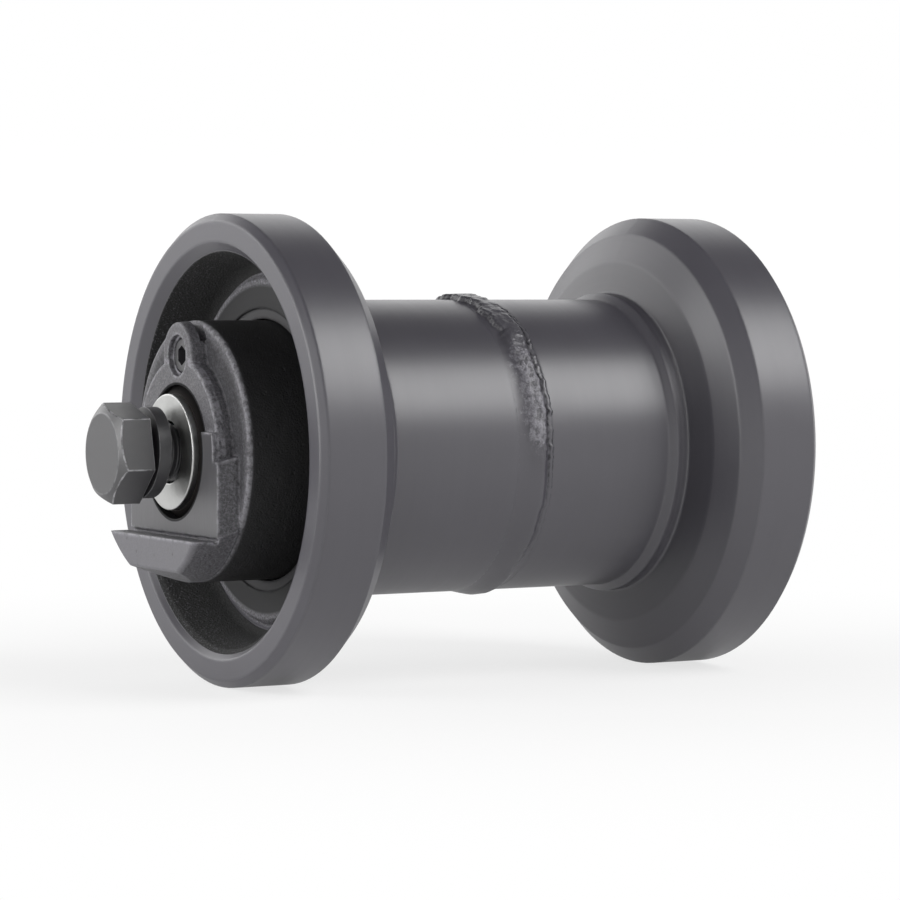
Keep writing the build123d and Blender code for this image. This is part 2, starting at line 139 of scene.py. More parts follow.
class Graph:
    """A node tree and the few ways in which nodes are added to it."""

    def __init__(self, tree):
        self.tree = tree

    def add(self, kind, settings=None, inputs=None, output=0):
        """Adds a node and gives back one of its outputs."""
        node = self.tree.nodes.new(kind)
        for key, value in (settings or {}).items():
            setattr(node, key, value)
        self.fill(node, inputs or {})
        return Value(self, node.outputs[output])

    def fill(self, node, inputs):
        """Links or sets a node's inputs, each found by its identifier, name or number."""
        by_identifier = {socket.identifier: socket for socket in node.inputs}
        for key, value in inputs.items():
            socket = by_identifier.get(key) or node.inputs[key]
            if isinstance(value, Value):
                self.tree.links.new(value.socket, socket)
            else:
                socket.default_value = value

    def math(self, operation, first, second=0.0):
        return self.add("ShaderNodeMath", {"operation": operation}, {0: first, 1: second})

    def axis(self, vector, letter):
        """One of a vector's three numbers, X, Y or Z."""
        return self.add("ShaderNodeSeparateXYZ", inputs={0: vector}, output=letter)

    def point(self, x=0.0, y=0.0, z=0.0):
        return self.add("ShaderNodeCombineXYZ", inputs={"X": x, "Y": y, "Z": z})

    def slope(self, value, start, end, kind="LINEAR"):
        """0 at the start, 1 at the end, and a straight rise between them, which may run down."""
        limits = {"Value": value, "From Min": start, "From Max": end}
        return self.add("ShaderNodeMapRange", {"interpolation_type": kind}, limits)

    def step(self, value, start, end):
        """Like slope, with a smooth rise."""
        return self.slope(value, start, end, "SMOOTHSTEP")

    def above(self, value, limit, soft):
        """1 above the limit, fading to 0 over the soft width below it."""
        return self.step(value, limit - soft, limit)

    def below(self, value, limit, soft):
        """1 below the limit, fading to 0 over the soft width above it."""
        return self.step(value, limit + soft, limit)

    def between(self, value, low, high, soft):
        """1 between low and high, fading to 0 over the soft width outside them."""
        return self.above(value, low, soft) * self.below(value, high, soft)

    def noise(self, size, detail=2.0, roughness=0.5, place=None):
        """Cloudy pattern from 0 to 1, whose blobs are about the given size in metres."""
        looks = {"Scale": 1 / size, "Detail": detail, "Roughness": roughness}
        return self.add("ShaderNodeTexNoise", inputs={"Vector": place or self.place, **looks})


print("shader maths ready")

# %% [markdown]
# ## One material as a class
#
# `Finish` is one material. It starts with the coordinates that every piece shares: how far a
# point lies out along the shaft, and its radius from the shaft's axis. On a turned object these
# two find nearly every zone. `edges` finds edges, for wear and painted highlights, by comparing
# the surface's normal with a rounded copy of it, and `shadow` darkens corners that light hardly
# reaches.

# %% Finish
BEVEL_SAMPLES = 6
EDGE_COSINE = 0.80  # between the two normals where an edge counts in full
FLAT_COSINE = 0.995  # and where the face counts as open
SPOT_CORE = 0.05  # share of a pit's cell that is full pit
SPOT_END = 0.35  # and where the pit ends


def gray(value, cool=0.0):
    """A near-neutral colour. Positive cool leans to blue-violet, as dark coatings do."""
    return (value * (1 + cool * 0.25), value, value * (1 + cool), 1.0)


class Finish(Graph):
    """One material, with the coordinates that every piece of the roller shares."""

    def __init__(self, name):
        self.material = bpy.data.materials.new(name)
        self.material.use_nodes = True
        super().__init__(self.material.node_tree)
        self.surface = self.tree.nodes["Principled BSDF"]
        self.place = self.add("ShaderNodeTexCoord", output="Object")
        self.x, self.y, self.z = [self.axis(self.place, letter) for letter in "XYZ"]
        self.out = abs(self.y)
        self.radius = (self.x * self.x + self.z * self.z) ** 0.5

    def rings(self, cloud_size, drift):
        """A place that changes only across turning marks, so that noise at it makes rings."""
        return self.point(self.out + self.radius, self.noise(cloud_size) * drift)

    def pits(self, size, share):
        """1 at the middle of scattered round spots, of which the given share shows."""
        looks = {"Vector": self.place, "Scale": 1 / size}
        distance = self.add("ShaderNodeTexVoronoi", inputs=looks, output="Distance")
        cell_color = self.add("ShaderNodeTexVoronoi", inputs=looks, output="Color")
        ticket = self.add("ShaderNodeSeparateColor", inputs={0: cell_color})
        return (1 - self.step(distance, SPOT_CORE, SPOT_END)) * self.below(ticket, share, 0.02)

    def stored(self, name):
        """A value that the mesh carries under a name."""
        return self.add("ShaderNodeAttribute", {"attribute_name": name}, output="Fac")

    def blend(self, factor, first, second):
        """A colour between two colours."""
        inputs = {"Factor_Float": factor, "A_Color": first, "B_Color": second}
        return self.add("ShaderNodeMix", {"data_type": "RGBA"}, inputs, 2)

    def rounded(self, width):
        """The surface's normal with its edges rounded over a width."""
        return self.add("ShaderNodeBevel", {"samples": BEVEL_SAMPLES}, {"Radius": width})

    def edges(self, width):
        """1 on edges of the piece, 0 on its open faces, from how far a rounded normal turns."""
        both = {0: self.rounded(width), 1: self.add("ShaderNodeNewGeometry", output="Normal")}
        likeness = self.add("ShaderNodeVectorMath", {"operation": "DOT_PRODUCT"}, both, "Value")
        return 1 - self.step(likeness, EDGE_COSINE, FLAT_COSINE)

    def bump(self, height, rounding=None):
        """The normal of a surface whose height is given in metres."""
        inputs = {"Height": height, "Distance": 1.0}
        if rounding:
            inputs["Normal"] = self.rounded(rounding)
        return self.add("ShaderNodeBump", inputs=inputs)

    def show(self, shader):
        """Makes a shader what the material shows."""
        end = self.tree.nodes["Material Output"]
        self.tree.links.new(shader.socket, end.inputs["Surface"])

    def shadow(self, factor):
        """Turns the surface to matt black where factor is 1, as in deep corners."""
        lit = Value(self, self.surface.outputs[0])
        black = self.add("ShaderNodeBsdfDiffuse", inputs={"Color": gray(0.006)})
        self.show(self.add("ShaderNodeMixShader", inputs={0: factor, 1: lit, 2: black}))

    def finish(self, **inputs):
        """Fills the surface's sockets, named with underscores for spaces, and gives the material."""
        self.fill(self.surface, {key.replace("_", " "): value for key, value in inputs.items()})
        return self.material


print("finish class ready")

# %% [markdown]
# ## Wheel and barrel coat
#
# The two wheels are forgings, turned where they run and left as forged inside the dish, then
# dipped in a thin dark satin coat. The paint itself is a class of its own, because the weld wears
# it too and has to match. One material covers wheels, hubs and barrel, because its zones are only
# places: the distance from the axis and the distance from the middle tell them apart. Turning
# leaves fine rings and the forged skin is coarse. Edges are lightened in patches, as wear and
# painted highlight, and the hub's rough shoulder and the narrow ring at the barrel's end carry a
# painted highlight. The inner faces of the wheels and the hub get a share of shadow, because so
# little light reaches them in the photograph. As painted shade too, the dish darkens to black
# with its depth and the hub is coloured near black.

# %% Paint shared by wheels, barrel and weld
COAT_SHINE = 0.9


class Painted(Finish):
    """A finish that starts from the roller's thin satin coat over turned steel."""

    def __init__(self, name):
        super().__init__(name)
        rings = self.rings(50 * MM, 3 * MM)
        turn_marks = self.noise(0.30 * MM, 2.0, 0.6, rings)
        bands = self.noise(2.2 * MM, 2.0, 0.5, rings)
        cloud = self.noise(30 * MM, 4.0, 0.6)
        peel = self.noise(1.0 * MM, 3.0, 0.6)
        self.paint = self.blend(cloud * 0.7 + bands * 0.3, gray(0.043, 0.22), gray(0.061, 0.22))
        self.sheen = 0.33 + turn_marks * 0.05 + cloud * 0.06 - bands * 0.04
        self.relief = turn_marks * (0.009 * MM) + bands * (0.008 * MM) + peel * (0.006 * MM)


print("paint ready")

# %% Places on the wheel
# "Out" is a place along the shaft from mid-length, and a radius is from the shaft's axis. A pair
# is the start and the end of a band. In order: the narrow ring where the barrel meets the wheel,
# the foot and the cone of the wheel's inner face, the hub with its sloping shoulder and the
# sunk ring round the collar, and the rough skin of the dish.
RING_OUT = (57.6 * MM, 59.6 * MM)
RING_RADIUS = 53.6 * MM
BACK_OUT = (60.1 * MM, 62.4 * MM)
CONE_OUT = (62.9 * MM, 66.8 * MM)
HUB_OUT = (74.2 * MM, 79.0 * MM)
HUB_RADIUS = 60.0 * MM
SHOULDER_OUT = (74.2 * MM, 78.4 * MM)
SHOULDER_RADIUS = (56.8 * MM, 60.0 * MM)
SPOT_FACE_OUT = 77.6 * MM
SPOT_FACE_RADIUS = 48.2 * MM
DISH_OUT = (74.8 * MM, 94.6 * MM)
DISH_RADIUS = (60.6 * MM, 67.2 * MM)
DISH_DEEP = (90.0 * MM, 77.0 * MM)  # from full light to full dark
DISH_SAG = 1.3 * MM  # how much wider the rough skin is on the lower side
SAG_HEIGHTS = (20 * MM, -60 * MM)
print("rough skin in the dish:", [round(out / MM, 1) for out in DISH_OUT], "mm out")


# %% Wheel and barrel coat
def make_wheel_coat():
    coat = Painted("wheel_coat")
    forged = coat.noise(0.8 * MM, 3.0, 0.75)
    sag = coat.step(coat.z, *SAG_HEIGHTS) * DISH_SAG
    in_ring = coat.between(coat.radius - sag, *DISH_RADIUS, 0.3 * MM)
    in_dish = coat.between(coat.out, *DISH_OUT, 0.4 * MM) * in_ring
    deep_shade = coat.step(coat.out, *DISH_DEEP) * in_dish
    hub = coat.between(coat.out, *HUB_OUT, 0.4 * MM) * coat.below(coat.radius, HUB_RADIUS, 0.6 * MM)
    on_slope = coat.between(coat.radius, *SHOULDER_RADIUS, 1.8 * MM)
    shoulder = on_slope * coat.between(coat.out, *SHOULDER_OUT, 0.4 * MM)
    sunk = coat.below(coat.out, SPOT_FACE_OUT, 0.2 * MM)
    spot_face = hub * sunk * coat.below(coat.radius, SPOT_FACE_RADIUS, 0.2 * MM)
    back = coat.between(coat.out, *BACK_OUT, 0.5 * MM)
    cone = coat.between(coat.out, *CONE_OUT, 0.4 * MM)
    near_back = coat.between(coat.out, *RING_OUT, 0.6 * MM)
    barrel_ring_highlight = near_back * coat.below(coat.radius, RING_RADIUS, 0.4 * MM)
    rub_and_glint = coat.step(coat.noise(6 * MM, 4.0, 0.6), 0.30, 0.70)
    edge_wear_and_highlight = coat.edges(0.6 * MM) * rub_and_glint * (1 - in_dish)

    scale = coat.blend(coat.step(forged, 0.54, 0.66), gray(0.003), gray(0.110, 0.10))
    # Painted highlight along the hub's rough shoulder, broken up by the forged skin
    worn_and_lit = shoulder * (0.25 + coat.step(forged, 0.42, 0.60) * 0.75)
    # Painted shade: the hub at the bottom of the dish is coloured near black
    color = coat.blend(hub * 0.9, coat.paint, gray(0.008, 0.08))
    color = coat.blend(worn_and_lit, color, gray(0.22, 0.10))
    color = coat.blend(spot_face, color, gray(0.060, 0.06))
    color = coat.blend(in_dish, color, scale)
    # Painted shade: the dish darkens to black with its depth
    color = coat.blend(deep_shade * 0.8, color, gray(0.004))
    # Edges lightened in patches, as wear and painted highlight
    color = coat.blend(edge_wear_and_highlight * 0.40, color, gray(0.28, 0.06))
    # Painted highlight on the narrow ring at the barrel's end
    color = coat.blend(barrel_ring_highlight * 0.15, color, gray(0.16, 0.10))

    coarse = coat.step(in_dish + shoulder * 0.6, 0.0, 1.0)
    height = coat.relief + forged * coarse * (1.2 * MM)
    coat.shadow(back * 0.22 + cone * 0.10 + hub * (1 - shoulder) * 0.30)
    return coat.finish(
        Base_Color=color,
        Roughness=coat.sheen + in_dish * 0.50 + hub * 0.30,
        Specular_IOR_Level=COAT_SHINE,
        Normal=coat.bump(height, 1.4 * MM),
    )


wheel_coat = make_wheel_coat()
print("made", wheel_coat.name)

# %% [markdown]
# ## Shapes that follow a rule
#
# A weld and a thread both follow a rule, so each can be a Geometry Nodes tree: a flat grid is
# rolled up, and its two coordinates say where each point goes. `Shape` holds what such trees
# share: named sizes that can be changed for each piece, the grid, values kept for the finish to
# read, and the end that welds the seams shut and turns the result into a plain mesh.

# %% Shape
class Shape(Graph):
    """A Geometry Nodes tree with named sizes, which makes one piece."""

    def __init__(self, name):
        super().__init__(bpy.data.node_groups.new(name, "GeometryNodeTree"))
        self.tree.is_modifier = True
        for direction in ("INPUT", "OUTPUT"):
            self.new_socket("Geometry", direction, "NodeSocketGeometry")
        self.sizes = {}

    def new_socket(self, name, direction, kind):
        return self.tree.interface.new_socket(name, in_out=direction, socket_type=kind)

    def size(self, name, value):
        """A named input of the tree, and the value that it has unless a piece changes it."""
        self.sizes[name] = (self.new_socket(name, "INPUT", "NodeSocketFloat").identifier, value)
        return self.add("NodeGroupInput", output=name)

    def sheet(self, around, along):
        """A flat grid to be rolled up, and its two coordinates, each from 0 to 1."""
        counts = {"Vertices X": around, "Vertices Y": along, "Size X": 1.0, "Size Y": 1.0}
        grid = self.add("GeometryNodeMeshGrid", inputs=counts)
        place = self.add("GeometryNodeInputPosition")
        return grid, self.axis(place, "X") + 0.5, self.axis(place, "Y") + 0.5

    def keep(self, grid, name, value):
        """Stores a value on the grid's points under a name, for the finish to read."""
        kind = {"data_type": "FLOAT", "domain": "POINT"}
        inputs = {"Geometry": grid, "Name": name, "Value": value}
        return self.add("GeometryNodeStoreNamedAttribute", kind, inputs)

    def close(self, grid, place, material, weld_gap):
        """Moves the grid to its place, welds its seams shut and ends the tree."""
        steps = (
            ("GeometryNodeSetPosition", {"Position": place}),
            ("GeometryNodeMergeByDistance", {"Distance": weld_gap}),
            ("GeometryNodeSetShadeSmooth", {}),
            ("GeometryNodeRealizeInstances", {}),
            ("GeometryNodeSetMaterial", {"Material": material}),
        )
        made = grid
        for kind, inputs in steps:
            made = self.add(kind, inputs={"Geometry": made, **inputs})
        end = self.tree.nodes.new("NodeGroupOutput")
        self.tree.links.new(made.socket, end.inputs[0])

    def make(self, piece_name, **changes):
        """Runs the tree once and keeps its result as a plain mesh with the piece's name."""
        host = bpy.data.objects.new(piece_name + "_tree", bpy.data.meshes.new(piece_name + "_tree"))
        scene.collection.objects.link(host)
        modifier = host.modifiers.new("shape", "NODES")
        modifier.node_group = self.tree
        for name, (identifier, value) in self.sizes.items():
            modifier[identifier] = changes.get(name, value)
        shown = host.evaluated_get(bpy.context.evaluated_depsgraph_get())
        mesh = bpy.data.meshes.new_from_object(shown)
        mesh.name = piece_name
        # The tree's own material comes last, and the piece keeps no other
        material = mesh.materials[-1]
        mesh.materials.clear()
        mesh.materials.append(material)
        mesh.polygons.foreach_set("material_index", [0] * len(mesh.polygons))
        bpy.data.objects.remove(host)
        piece = bpy.data.objects.new(piece_name, mesh)
        scene.collection.objects.link(piece)
        return piece


print("shape class ready")

# %% [markdown]
# ## Weld bead
#
# The half barrels are joined by a ring of weld laid in a V groove. Its cap is a low ridge whose
# height and width wander. The grid is rolled round twice, once about the axis and once about the
# section of the bead, and noise and ripples push it out. One flank rises softly from the barrel.
# The other ends in a torn crease with a thin lip beside it. The upper half turn is rough, the
# lower half turn was run on smoothly, and a patch at the front, on the upper side, is lighter on
# its raised spots. The tree keeps how close a point lies to the crease and how light that patch
# is there, so that the coat can paint shade into the crease and lighten the patch.

# %% Weld tree
POINTS_ROUND_BARREL = 1081
POINTS_ROUND_SECTION = 89
LIP_HALF_WIDTH = 0.13  # as a share of the bead's half width


def weld_tree(material):
    weld = Shape("weld_bead_tree")
    radius = weld.size("Barrel Radius", 50.87 * MM)
    half = weld.size("Half Width", 7.6 * MM)
    rise = weld.size("Height", 2.0 * MM)
    sink = weld.size("Sink", 1.2 * MM)
    pitch = weld.size("Ripple Pitch", 3.1 * MM)
    ripple = weld.size("Ripple Depth", 0.04 * MM)
    lump = weld.size("Lump Height", 1.7 * MM)
    scale = weld.size("Scale Height", 0.50 * MM)
    lip = weld.size("Lip Height", 0.40 * MM)
    seed = weld.size("Seed", 4.0)

    # x and z run from -1 to 1 round the barrel, and side and top round the section of the bead
    grid, across, up = weld.sheet(POINTS_ROUND_BARREL, POINTS_ROUND_SECTION)
    turn = across * (2 * pi)
    section = up * (2 * pi)
    x = weld.math("COSINE", turn)
    z = weld.math("SINE", turn)
    side = weld.math("COSINE", section)
    top = weld.math("SINE", section)

    # How the bead wanders, and where its upper part is rough
    ring = weld.point(x * radius, seed * MM, z * radius)
    rough = weld.step(z + x * 0.2, 0.0, 0.30)
    crown = weld.step(z, 0.55, 0.85)
    wander = weld.noise(16 * MM, 3.0, 0.6, ring) - 0.5
    jag = (weld.noise(5.5 * MM, 3.0, 0.6, ring) - 0.5) * crown
    tear = weld.noise(4.0 * MM, 3.0, 0.7, ring)
    y = side * half + wander * half * 0.25
    spot = weld.point(x * radius, y, z * radius)

    # The soft flank rises from the toe, and the other falls to the crease
    toe = jag * 1.1 - 0.95 + crown * 0.2
    rising = weld.step(side, toe, 1.20 * (1 - crown) + toe + 0.25)
    crease_line = 0.66 + wander * 0.30 + (tear - 0.5) * 0.30 * rough
    falling = weld.step(side, crease_line, crease_line - 0.30)
    crest = rising * falling

    # The lip stands beside the crease, and both fade out towards the bottom
    fading = weld.step(z, -0.80, -0.55) * (0.25 + weld.step(z, -0.45, 0.05) * 0.75)
    from_lip = abs(side - crease_line - LIP_HALF_WIDTH)
    ridge = (1 - weld.step(from_lip, 0.03, LIP_HALF_WIDTH)) * weld.step(tear, 0.34, 0.62) * fading
    either_side = abs(from_lip - LIP_HALF_WIDTH)
    crease = (1 - weld.step(either_side, 0.02, 0.10)) * fading

    # Ripples, lumps and scales on the cap
    along_arc = turn * radius + side * side * half * 0.5 + wander * pitch * 6
    wave = weld.math("SINE", along_arc * (2 * pi) / pitch)
    lumps = weld.noise(8.0 * MM, 2.0, 0.5, spot) - 0.42
    scales = weld.noise(2.4 * MM, 3.0, 0.65, spot) - 0.5
    roughened = wave * ripple * crown + lumps * lump + scales * scale
    cap = roughened * crest * (rough * 0.94 + 0.06)

    # How far each point reaches from the axis. The underside is sunk into the barrel.
    shown = weld.step(top, -0.05, 0.22)
    full = 0.5 + rough * 0.5 + weld.step(z, -0.75, -0.95) * 0.35
    extra = crest * rise * (full + wander * 0.3) + cap + ridge * lip
    reach = radius - (1 - shown) * sink + extra * shown

    # The lighter patch at the front, on the upper side
    bright_turn = weld.between(z, 0.16, 0.55, 0.26) * weld.step(x, 0.0, 0.3)
    bright_band = weld.step(side, -1.05 - z * 0.3, 0.0) * weld.step(side, 0.62, 0.40)
    marked = weld.keep(grid, "crease", crease)
    marked = weld.keep(marked, "bright", bright_band * bright_turn)
    weld.close(marked, weld.point(x * reach, y, z * reach), material, 0.02 * MM)
    return weld


print("weld tree ready")


# %% Weld coat
def make_weld_coat():
    coat = Painted("weld_coat")
    crease = coat.stored("crease")
    bright = coat.stored("bright")
    scale = coat.noise(2.2 * MM, 4.0, 0.65)
    fleck = coat.noise(0.7 * MM, 3.0, 0.7)
    upper = coat.step(coat.z + coat.x * 0.2, -2 * MM, 14 * MM)
    crest = coat.step(coat.radius, 51.2 * MM, 52.4 * MM) * upper
    crown = coat.step(coat.z, 30 * MM, 42 * MM) * crest
    torn = coat.step(coat.noise(2.2 * MM, 4.0, 0.7), 0.36, 0.60)
    # A lighter patch on raised spots, at the front on the upper side
    high_spots = coat.step(scale * 0.65 + fleck * 0.35 + bright * 0.24, 0.60, 0.82)
    lightened = high_spots * coat.step(bright, 0.0, 0.3)
    # Painted shade in the hollows of the crest's scales
    hollow_shade = crest * coat.step(scale, 0.46, 0.34) * (0.5 - crown * 0.3)
    color = coat.blend(lightened * 0.9, coat.paint, gray(0.21, 0.12))
    color = coat.blend(hollow_shade, color, gray(0.016, 0.15))
    coat.shadow(crease * torn * 0.85)
    grit = scale * (0.60 * MM) + fleck * (0.13 * MM)
    return coat.finish(
        Base_Color=color,
        Roughness=coat.sheen + fleck * 0.10 * crest + crease * 0.3 - crown * 0.06,
        Specular_IOR_Level=COAT_SHINE,
        Normal=coat.bump(coat.relief + grit * (crest - crown * 0.5)),
    )


weld_coat = make_weld_coat()
print("made", weld_coat.name)

# %% Weld bead
weld_bead = weld_tree(weld_coat).make("weld_ring")
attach(weld_bead, "roller")
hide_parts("weld_bead")
print("weld ring:", len(weld_bead.data.polygons), "faces")

# %% [markdown]
# ## Black oxide and the bolts
#
# The bolts, the lock washers and the plugs in the lobes carry black oxide, a thin satin skin
# that keeps the colour of steel on rubbed edges, and the edges also carry a painted highlight.
# The CAD bolt is a plain cylinder under its head. Its head is kept: it is copied, merged and
# given small bevels, which are marked so that the finish can lighten them, as wear and painted
# highlight. The shank is made anew with its real thread, M20 with a pitch of 2.5 mm, by a tree
# that rolls a grid round once. The distance along the bolt and the share of the turn together set
# the depth, and that alone makes the helix.

# %% Black oxide
HEAD_END_OUT = 136.6 * MM


def make_black_oxide():
    oxide = Finish("black_oxide")
    rub_and_glint = oxide.step(oxide.noise(2 * MM, 3.0), 0.30, 0.60)
    head_end = oxide.above(oxide.out, HEAD_END_OUT, 0.4 * MM)
    # Edges lightened in patches toward bare steel: wear and painted highlight, less on the head's
    # end
    lines = oxide.stored("lightened") * (0.75 - head_end * 0.55)
    edge_wear_and_highlight = oxide.math("MAXIMUM", oxide.edges(0.5 * MM) * 0.5, lines) * rub_and_glint
    cloud = oxide.noise(5 * MM, 4.0, 0.6)
    grain = oxide.noise(0.5 * MM, 3.0, 0.6)
    color = oxide.blend(cloud, gray(0.026, 0.08), gray(0.050, 0.08))
    color = oxide.blend(edge_wear_and_highlight, color, gray(0.45, 0.04))
    return oxide.finish(
        Base_Color=color,
        Metallic=edge_wear_and_highlight * 0.7,
        Roughness=0.30 + cloud * 0.12 + grain * 0.06,
        Specular_IOR_Level=0.9,
        Normal=oxide.bump(grain * (0.03 * MM), 0.3 * MM),
    )


black_oxide = make_black_oxide()
print("made", black_oxide.name)

# %% Thread tree
HEAD_BACK = 125.2 * MM  # underside of the bolt heads, out along the shaft
POINTS_ROUND_SHANK = 73
POINTS_ALONG_SHANK = 281
CREST_FLAT = 0.125  # of the pitch
ROOT_FLAT = 0.25  # of the pitch
CLOSED_END = 0.001  # share of the length in which each end of the shank closes to its axis


def thread_tree(material):
    thread = Shape("bolt_thread_tree")
    crest = thread.size("Crest Radius", 10.0 * MM)
    depth = thread.size("Thread Depth", 1.53 * MM)
    pitch = thread.size("Pitch", 2.5 * MM)
    length = thread.size("Length", 50.0 * MM)
    point = thread.size("Point Chamfer", 2.0 * MM)
    start = thread.size("Start", -HEAD_BACK)
    way = thread.size("Way", 1.0)
    grid, across, up = thread.sheet(POINTS_ROUND_SHANK, POINTS_ALONG_SHANK)
    turn = across * (2 * pi) * way * -1
    down = up * length
    phase = thread.math("FRACT", down / pitch + across)
    tooth = abs(phase - 0.5) * 2
    groove = thread.slope(tooth, CREST_FLAT, 1 - ROOT_FLAT)
    tip = crest - point + (length - down)
    reach = thread.math("MINIMUM", crest - groove * depth, tip)
    shut_start = thread.slope(up, 0.0, CLOSED_END)
    shut_end = thread.slope(up, 1.0, 1.0 - CLOSED_END)
    reach = reach * shut_start * shut_end
    x = thread.math("COSINE", turn) * reach
    z = thread.math("SINE", turn) * reach
    thread.close(grid, thread.point(x, start + down * way, z), material, 0.01 * MM)
    return thread


print("thread tree ready")

# %% Bolt head
HEAD_BEVEL = 0.32 * MM
SHARP_ANGLE = radians(20)
FLAT_ANGLE = radians(1.0)


def bolt_head(name, side):
    """A merged copy of the CAD bolt with its shank cut off, closed, and its edges broken."""
    mesh = bmesh.new()
    mesh.from_mesh(nodes[name].data)
    lightened = mesh.faces.layers.float.new("lightened")
    bmesh.ops.remove_doubles(mesh, verts=mesh.verts, dist=0.01 * MM)
    back = HEAD_BACK - 0.05 * MM
    shank = [v for v in mesh.verts if side * v.co.y < back]
    bmesh.ops.delete(mesh, geom=shank, context="VERTS")
    rim = [e for e in mesh.edges if e.is_boundary]
    bmesh.ops.holes_fill(mesh, edges=rim, sides=0)
    bmesh.ops.dissolve_limit(mesh, angle_limit=FLAT_ANGLE, verts=mesh.verts, edges=mesh.edges)
    sharp = [e for e in mesh.edges if e.calc_face_angle(0.0) > SHARP_ANGLE]
    look = {"segments": 2, "profile": 0.5, "affect": "EDGES"}
    bevels = bmesh.ops.bevel(mesh, geom=sharp, offset=HEAD_BEVEL, **look)
    # The bevels are marked for the finish to lighten, as wear and painted highlight
    for face in bevels["faces"]:
        face[lightened] = 1.0
    bmesh.ops.recalc_face_normals(mesh, faces=mesh.faces)
    if mesh.calc_volume(signed=True) < 0:
        bmesh.ops.reverse_faces(mesh, faces=mesh.faces)
    for face in mesh.faces:
        face.smooth = False
        face.material_index = 0
    return mesh


print("bolt head helper ready")

# %% Bolts
shank_tree = thread_tree(black_oxide)
for end, side in ENDS:
    bolt = shank_tree.make("threaded_bolt_" + end, Start=side * HEAD_BACK, Way=float(-side))
    head = bolt_head("bolt_" + end, side)
    head.from_mesh(bolt.data)
    head.to_mesh(bolt.data)
    head.free()
    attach(bolt, "axle")
    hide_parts("bolt_" + end)
    print(bolt.name, len(bolt.data.polygons), "faces")

# %% [markdown]
# ## Light, floor and backdrop
#
# A catalogue photograph of this kind has large soft lights and white all round. The key lamp, up
# to the right, gives the broad bright band along the barrel, and the side lamp lights the faces
# of the near end. Two lamps behind give the light line along the upper outline. The world is a
# soft studio room, bright near the horizon and darker overhead, and shows as white to the camera.
# The floor is nearly white, keeps a faint shadow of the roller, and fades into the backdrop.

# %% Lamps
def add_lamp(name, direction, distance, width, height, brightness):
    """A soft rectangular lamp that faces the roller. Brightness is what the camera would see."""
    data = bpy.data.lights.new(name, "AREA")
    data.shape = "RECTANGLE"
    data.size = width
    data.size_y = height
    data.energy = brightness * pi * width * height
    lamp = bpy.data.objects.new(name, data)
    way = Vector(direction).normalized()
    facing = way.to_track_quat("Z", "Y").to_matrix().to_4x4()
    lamp.matrix_world = Matrix.Translation(way * distance) @ facing
    scene.collection.objects.link(lamp)
    print(name, round(data.energy, 1), "W")


add_lamp("key_lamp", (0.61, 0.47, 0.64), distance=1.6, width=1.0, height=0.95, brightness=5.2)
add_lamp("side_lamp", (-0.10, -0.95, 0.30), distance=2.2, width=1.6, height=1.4, brightness=4.0)
add_lamp("back_lamp", (-0.78, 0.40, 0.48), distance=2.2, width=1.8, height=1.2, brightness=1.0)
add_lamp("left_lamp", (-0.88, -0.38, 0.38), distance=2.2, width=1.8, height=1.2, brightness=1.6)

# %% World
white_light = (1.0, 1.0, 1.0, 1.0)
overhead_light = 0.13
horizon_extra = 0.88
horizon_end = 0.70

world = bpy.data.worlds.new("studio")
scene.world = world
world.use_nodes = True
room = Graph(world.node_tree)
height = room.axis(room.add("ShaderNodeTexCoord", output="Generated"), "Z")
seen = room.add("ShaderNodeLightPath", output="Is Camera Ray")
seen = seen + room.add("ShaderNodeLightPath", output="Is Transmission Ray")
level = room.step(height, horizon_end, 0.0) * horizon_extra + overhead_light
shade = room.math("MAXIMUM", level, seen)
room.fill(world.node_tree.nodes["Background"], {"Strength": shade, "Color": white_light})
print("world:", scene.world.name)

# %% Floor
floor_level = cad_box[0].z - 0.2 * MM
floor_reach = 3.0
fade_start = 0.12
fade_end = 0.42
near_glow = 0.72  # share of plain white near the roller, where the rest shows its shadow
mirrored_share = 0.5  # how much of that white the roller itself mirrors


def make_floor_white():
    white = Finish("floor_white")
    lit = white.add("ShaderNodeBsdfDiffuse", inputs={"Color": gray(0.96)})
    glow = white.add("ShaderNodeEmission", inputs={"Color": white_light})
    camera_ray = white.add("ShaderNodeLightPath", output="Is Camera Ray")
    glossy_ray = white.add("ShaderNodeLightPath", output="Is Glossy Ray")
    clear_ray = white.add("ShaderNodeLightPath", output="Is Transmission Ray")
    distance = white.add("ShaderNodeVectorMath", {"operation": "LENGTH"}, {0: white.place}, "Value")
    far_away = white.step(distance, fade_start, fade_end)
    rays = camera_ray + glossy_ray * mirrored_share + clear_ray
    share = rays * (near_glow + far_away * (1 - near_glow))
    white.show(white.add("ShaderNodeMixShader", inputs={0: share, 1: lit, 2: glow}))
    white.tree.nodes.remove(white.surface)
    return white.material


quarters = ((-1, -1), (1, -1), (1, 1), (-1, 1))
corners = [(x * floor_reach, y * floor_reach, floor_level) for x, y in quarters]
floor_mesh = bpy.data.meshes.new("floor")
floor_mesh.from_pydata(corners, [], [(0, 1, 2, 3)])
floor_mesh.materials.append(make_floor_white())
floor = bpy.data.objects.new("floor", floor_mesh)
scene.collection.objects.link(floor)
print("floor at", round(floor_level / MM, 1), "mm")

# %% [markdown]
# ## Cast collar
#
# The end collars are sand castings, painted black. The skin keeps the grain of the mould and a
# few pits, darkened inside as painted shade, and its rims are lightened in patches, more on the
# upper side, as wear and painted highlight. The pad that bears on the frame plate is machined
# after casting, so it is smoother and shows fine strokes, and the ledge's front is smoother too
# and coloured lighter, as painted light. The mask for the pad is simply the place of its plane,
# so nothing has to be painted by hand. The bore, the foot of the boss and the disc's side lie in
# shadow, and the disc's side also has a darker colour, as painted shade.

